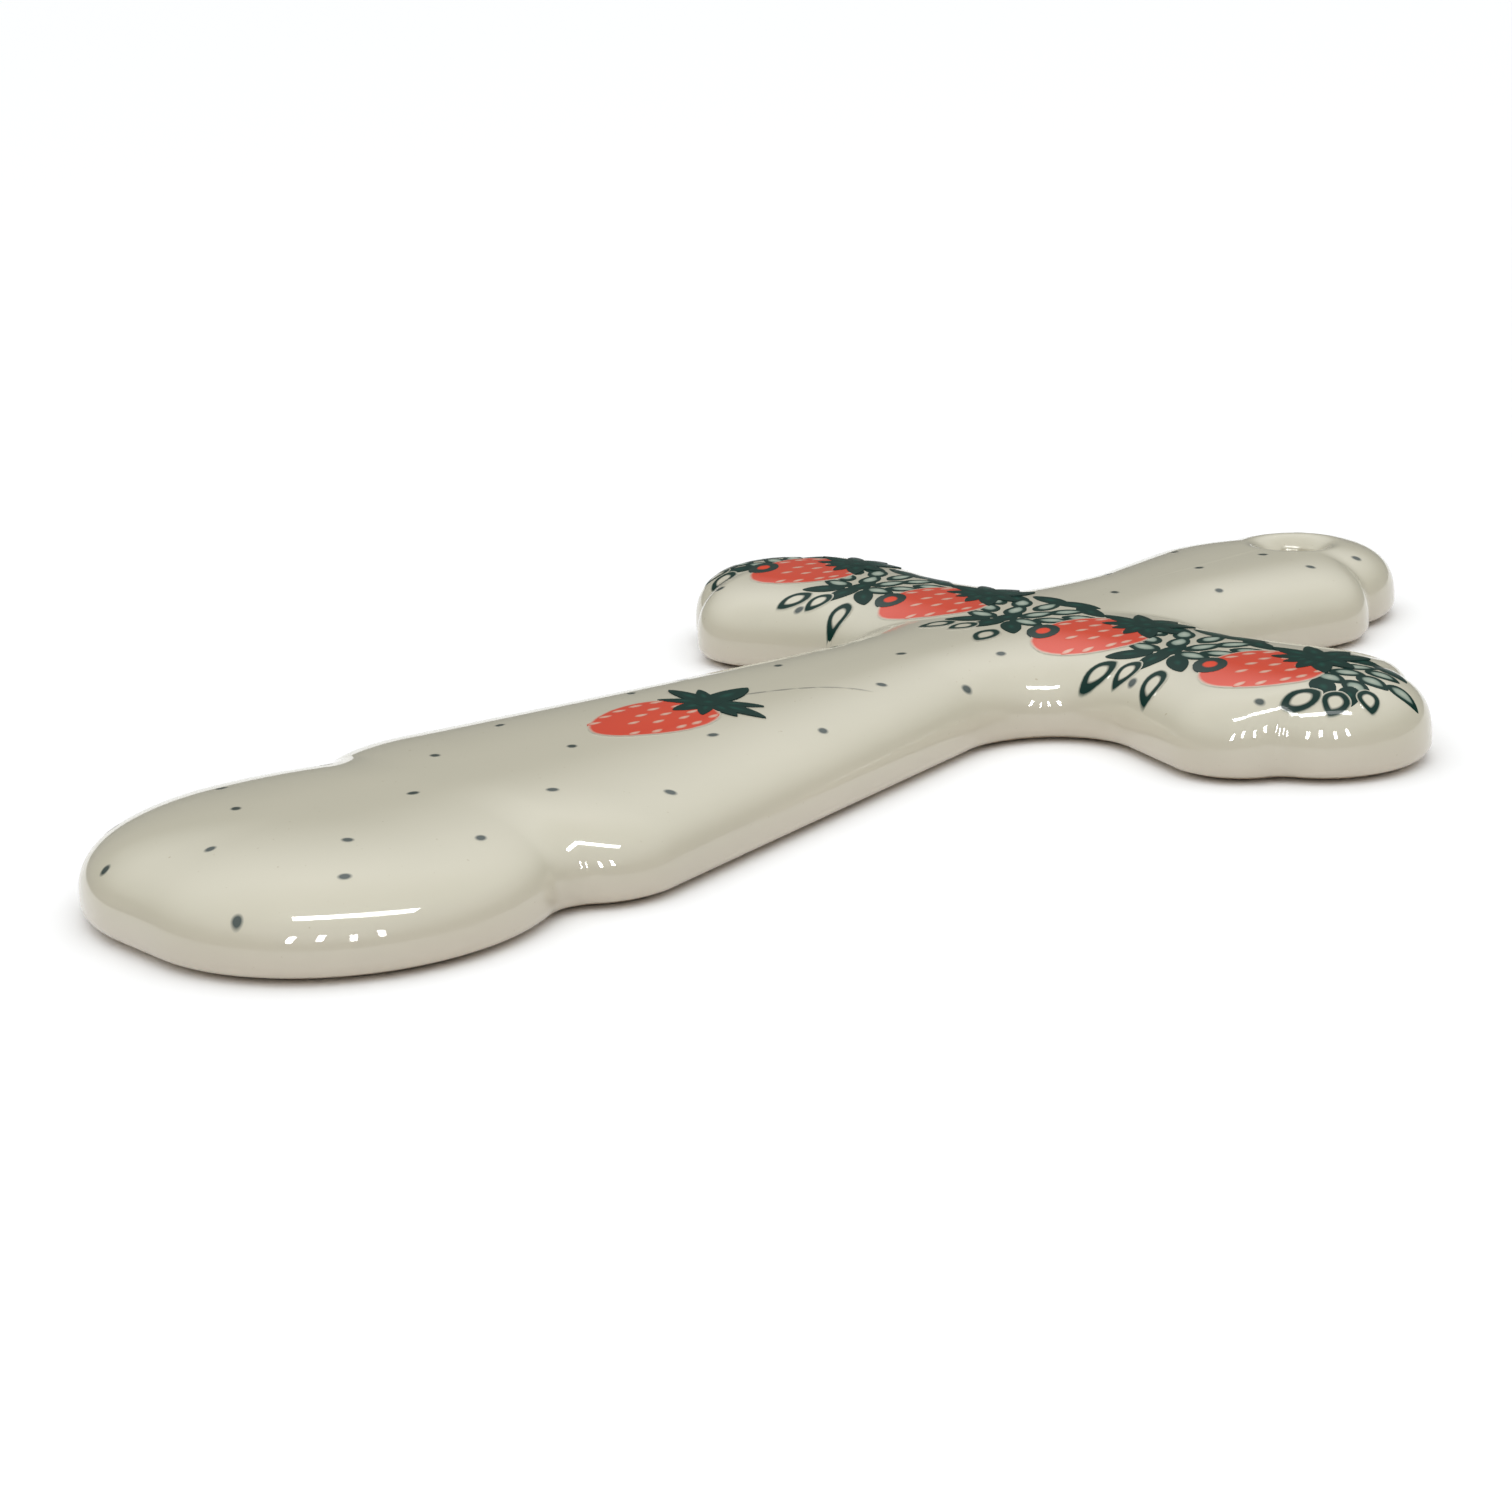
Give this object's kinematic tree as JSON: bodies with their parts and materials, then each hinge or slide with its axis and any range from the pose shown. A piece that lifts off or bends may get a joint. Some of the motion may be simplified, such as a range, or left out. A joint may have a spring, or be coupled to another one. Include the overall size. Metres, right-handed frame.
{
  "type": "painted stoneware wall cross",
  "caption": "Glazed stoneware wall cross with budded arm ends, a domed face, hand-painted strawberries and leaves, and one hanging hole.",
  "frame": {"origin": "centre of the crossing, on the flat back of the cross", "axes": "+X along the right arm, +Y up the cross towards its hanging hole, +Z out of the painted face"},
  "size_m": [0.139, 0.2309, 0.0126],
  "materials": {
    "bare_clay": "matte",
    "cream_glaze": "gloss",
    "strawberry_red": "gloss",
    "leaf_green": "gloss",
    "grey_green": "gloss",
    "seed_pink": "gloss"
  },
  "bodies": {
    "root": {"clay_body": "bare_clay", "glaze_coat": "cream_glaze", "lone_berry": "strawberry_red", "lone_calyx": "leaf_green", "lone_stalk": "grey_green", "garland_berries": "strawberry_red", "garland_calyxes": "leaf_green", "garland_rings": "leaf_green", "garland_leaves": "leaf_green", "leaf_loops": "leaf_green", "berry_seeds": "seed_pink", "scattered_dots": "grey_green"}
  },
  "joints": []
}
